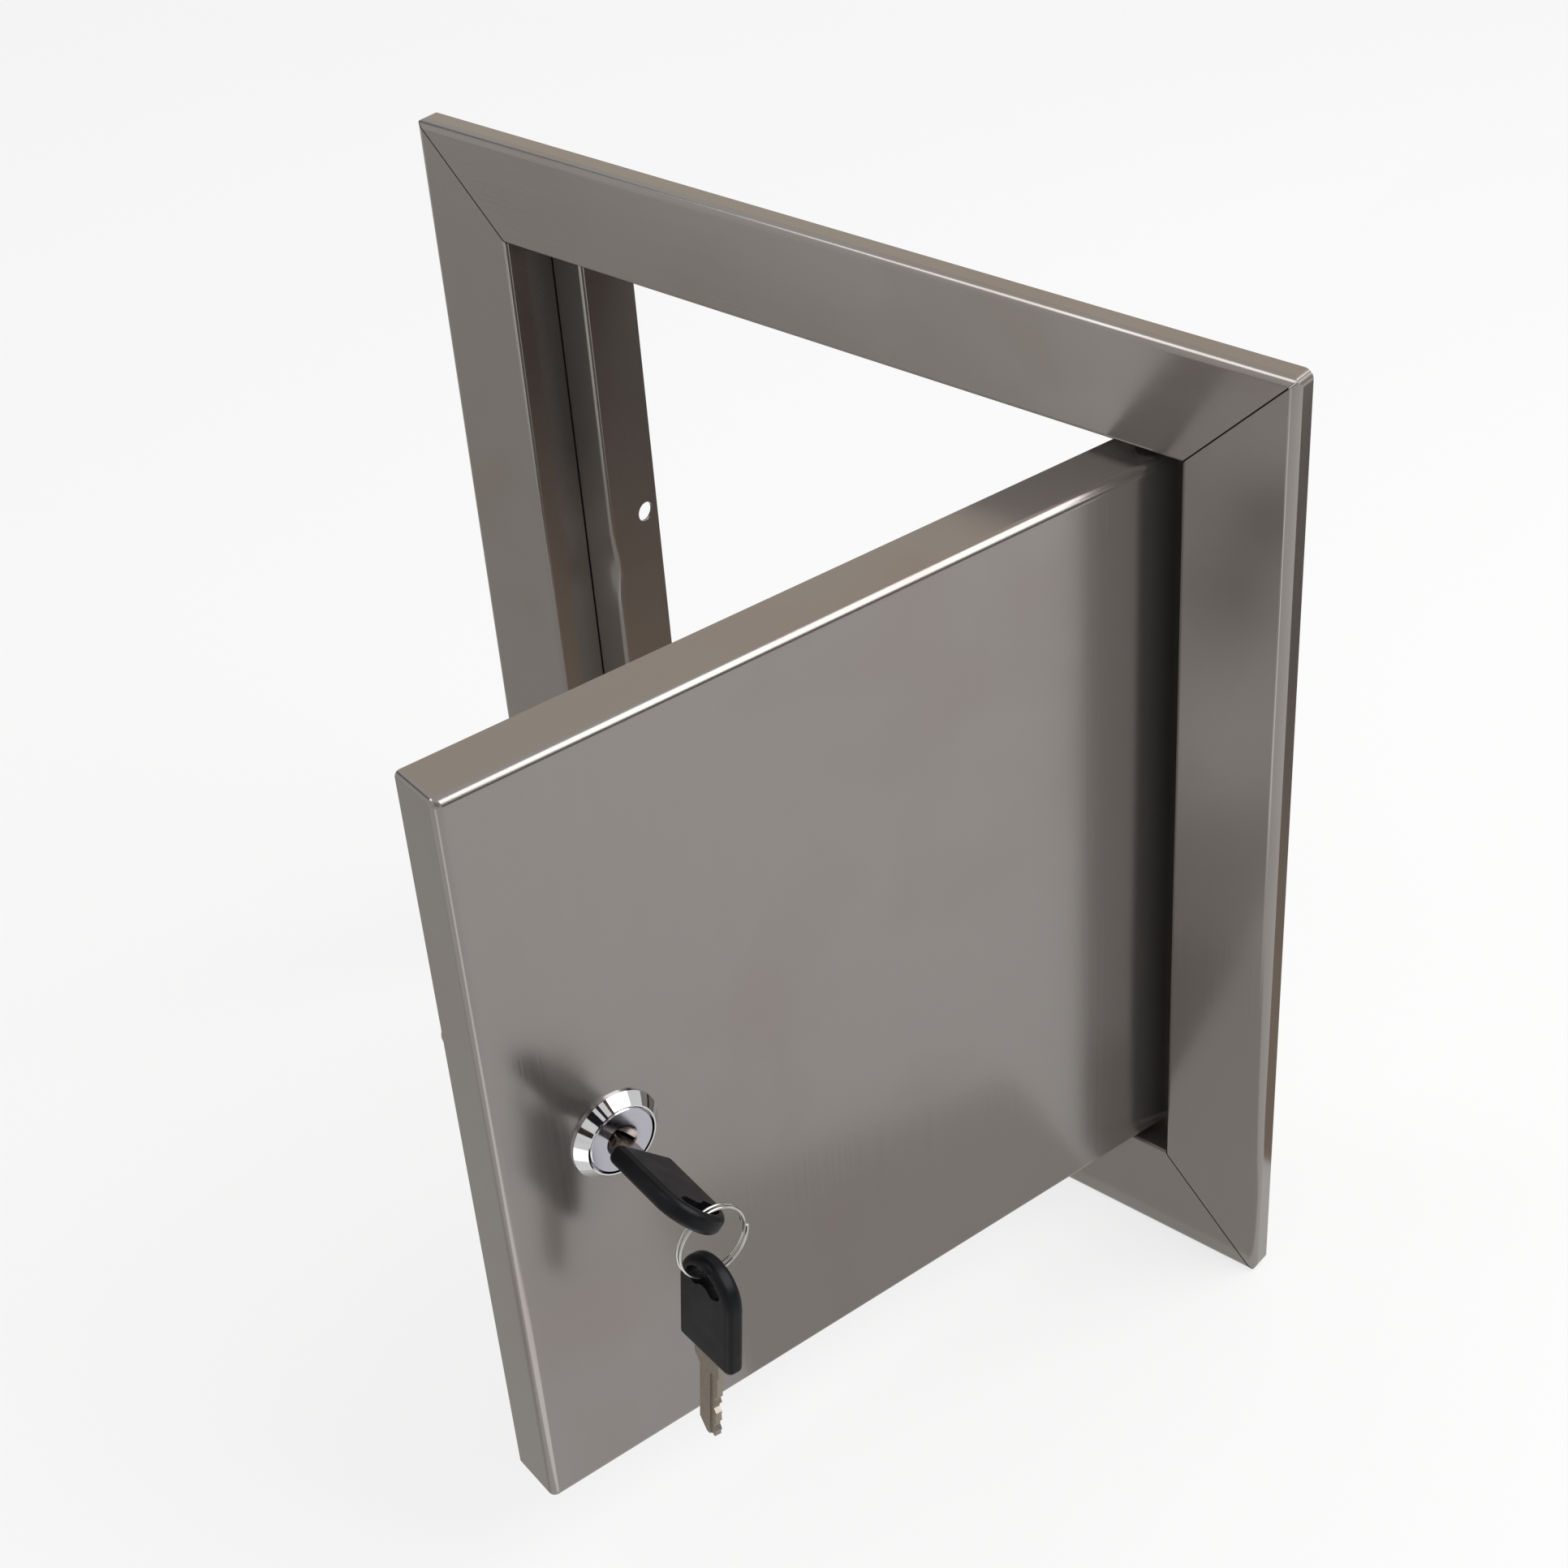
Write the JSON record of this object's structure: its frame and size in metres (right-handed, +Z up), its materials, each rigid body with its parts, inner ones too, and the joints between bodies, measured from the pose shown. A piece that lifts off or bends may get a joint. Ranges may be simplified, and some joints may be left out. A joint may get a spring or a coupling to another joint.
{
  "type": "locking access panel",
  "caption": "Flush access panel: folded stainless frame with a stop ledge, inset pan door on pivot screws, key-operated cam lock, key in the lock and a spare on a split ring.",
  "frame": {"origin": "middle of the opening, in the plane of the wall's surface (rear edge of the face frame's lip)", "axes": "+X to the right seen from the front, +Y into the wall, +Z up; the front faces -Y"},
  "size_m": [0.3, 0.2457, 0.3],
  "materials": {
    "frame_steel": "satin brushed",
    "door_steel": "satin brushed, vertical grain",
    "zinc_hardware": "zinc plated",
    "bush_plastic": "black nylon",
    "lock_chrome": "polished plating",
    "lock_zinc": "nickel plated zinc",
    "wafer_brass": "stamped",
    "key_nickel_silver": "milled",
    "key_black_plastic": "satin moulded",
    "ring_spring_steel": "nickel plated"
  },
  "bodies": {
    "frame": {"frame_left_rail": "frame_steel", "frame_right_rail": "frame_steel", "frame_top_rail": "frame_steel", "frame_bottom_rail": "frame_steel", "upper_pivot_screw": "zinc_hardware", "lower_pivot_screw": "zinc_hardware", "pivot_nuts": "zinc_hardware", "upper_pivot_washer": "zinc_hardware", "lower_pivot_washer": "zinc_hardware"},
    "door": {"door_pan": "door_steel", "upper_pivot_bush": "bush_plastic", "lower_pivot_bush": "bush_plastic", "upper_hinge_plate": "door_steel", "lower_hinge_plate": "door_steel", "lock_housing": "lock_zinc", "lock_bezel": "lock_chrome", "lock_washer": "zinc_hardware", "lock_nut": "zinc_hardware"},
    "lock_barrel": {"lock_plug": "lock_zinc", "lock_wafers": "wafer_brass", "stop_washer": "zinc_hardware", "lock_cam": "zinc_hardware", "cam_washer": "zinc_hardware", "cam_screw": "zinc_hardware"},
    "key": {"key_blade": "key_nickel_silver", "key_bow": "key_black_plastic"},
    "key_ring": {"split_ring": "ring_spring_steel"},
    "spare_key": {"spare_key_blade": "key_nickel_silver", "spare_key_bow": "key_black_plastic"}
  },
  "joints": [
    {"name": "door_swing", "type": "hinge", "parent": "frame", "child": "door", "pos_m": [0.1035, 0.00125, 0], "axis": [0, 0, 1], "range_deg": [-77, 28]},
    {"name": "lock_turn", "type": "hinge", "parent": "door", "child": "lock_barrel", "pos_m": [0.06981, -0.18135, -0.0025], "axis": [0.9744, -0.225, 0], "range_deg": [-45, 45]},
    {"name": "key_draw", "type": "slide", "parent": "lock_barrel", "child": "key", "axis": [0.9744, -0.225, 0], "range_m": [0, 0.034]},
    {"name": "ring_swing", "type": "hinge", "parent": "key", "child": "key_ring", "pos_m": [0.10454, -0.18937, -0.00473], "axis": [0.2168, 0.9389, 0.2672], "range_deg": [-25, 8]},
    {"name": "spare_key_swing", "type": "hinge", "parent": "key_ring", "child": "spare_key", "pos_m": [0.10488, -0.18788, -0.02372], "axis": [0.2236, 0.9685, -0.1097], "range_deg": [-25, 10]}
  ]
}
